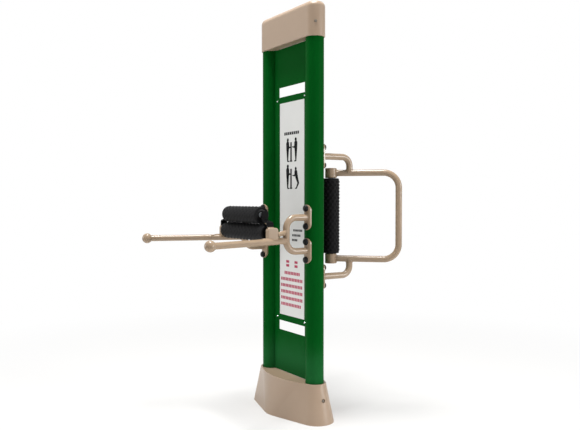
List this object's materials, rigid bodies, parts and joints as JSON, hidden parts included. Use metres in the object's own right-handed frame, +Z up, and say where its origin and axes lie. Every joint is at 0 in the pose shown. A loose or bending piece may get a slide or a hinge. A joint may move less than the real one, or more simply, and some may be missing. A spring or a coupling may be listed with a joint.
{
  "type": "outdoor waist massager",
  "caption": "Free-standing outdoor waist and back massager: a sign board between round columns, lying rubber rollers with ball-ended arms in front, upright rollers with bent handles behind.",
  "frame": {"origin": "on the ground, at the middle of the foot plate's underside, midway between the two columns", "axes": "+Z up along the columns; +X along the board from one column to the other; -Y towards the lying rollers and arms, +Y towards the upright rollers and handles"},
  "size_m": [0.7764, 1.0572, 2.013],
  "materials": {
    "green_paint": "gloss dark green",
    "beige_paint": "satin champagne",
    "beige_plastic": "smooth champagne",
    "black_rubber": "matt black, knobbed",
    "sign_print": "printed satin white",
    "black_plastic": "black",
    "bright_steel": "bright",
    "zinc_steel": "zinc plated",
    "black_paint": "satin black"
  },
  "bodies": {
    "post": {"foot_plate": "zinc_steel", "foot_ribs": "zinc_steel", "column_right": "green_paint", "column_left": "green_paint", "web_panel": "green_paint", "sign_plate": "sign_print", "sign_screws": "bright_steel", "base_cover": "beige_plastic", "top_cap": "beige_plastic", "cover_screws": "bright_steel", "saddle_bolts": "zinc_steel", "weld_nuts": "zinc_steel", "bolt_caps": "black_plastic", "bearing_inner_rings": "bright_steel", "shaft_spacers": "zinc_steel", "front_saddles_right": "beige_paint", "rear_saddles_right": "beige_paint", "front_bracket_right": "beige_paint", "arm_right": "beige_paint", "arm_ball_right": "beige_paint", "end_plate_right": "beige_paint", "brace_right": "beige_paint", "rear_bracket_upper_right": "beige_paint", "rear_bracket_lower_right": "beige_paint", "rear_handle_right": "beige_paint", "rear_bosses_right": "beige_paint", "link_bar_right": "black_paint", "front_saddles_left": "beige_paint", "rear_saddles_left": "beige_paint", "front_bracket_left": "beige_paint", "arm_left": "beige_paint", "arm_ball_left": "beige_paint", "end_plate_left": "beige_paint", "brace_left": "beige_paint", "rear_bracket_upper_left": "beige_paint", "rear_bracket_lower_left": "beige_paint", "rear_handle_left": "beige_paint", "rear_bosses_left": "beige_paint", "link_bar_left": "black_paint", "front_lower_shaft": "zinc_steel", "front_upper_shaft": "zinc_steel", "rear_right_shaft": "zinc_steel", "rear_left_shaft": "zinc_steel"},
    "front_lower_roller": {"front_lower_sleeve": "black_rubber", "front_lower_core": "zinc_steel", "front_lower_hubs": "black_plastic", "front_lower_bearings": "bright_steel"},
    "front_upper_roller": {"front_upper_sleeve": "black_rubber", "front_upper_core": "zinc_steel", "front_upper_hubs": "black_plastic", "front_upper_bearings": "bright_steel"},
    "rear_right_roller": {"rear_right_sleeve": "black_rubber", "rear_right_core": "zinc_steel", "rear_right_hubs": "black_plastic", "rear_right_bearings": "bright_steel"},
    "rear_left_roller": {"rear_left_sleeve": "black_rubber", "rear_left_core": "zinc_steel", "rear_left_hubs": "black_plastic", "rear_left_bearings": "bright_steel"}
  },
  "joints": [
    {"name": "front_lower_turn", "type": "hinge", "parent": "post", "child": "front_lower_roller", "pos_m": [0, -0.262, 0.9135], "axis": [1, 0, 0], "continuous": true},
    {"name": "front_upper_turn", "type": "hinge", "parent": "post", "child": "front_upper_roller", "pos_m": [0, -0.274, 0.995], "axis": [1, 0, 0], "continuous": true},
    {"name": "rear_right_turn", "type": "hinge", "parent": "post", "child": "rear_right_roller", "pos_m": [0.13424, 0.14524, 0.9865], "axis": [0, 0, 1], "continuous": true},
    {"name": "rear_left_turn", "type": "hinge", "parent": "post", "child": "rear_left_roller", "pos_m": [-0.13424, 0.14524, 0.9865], "axis": [0, 0, 1], "continuous": true}
  ]
}
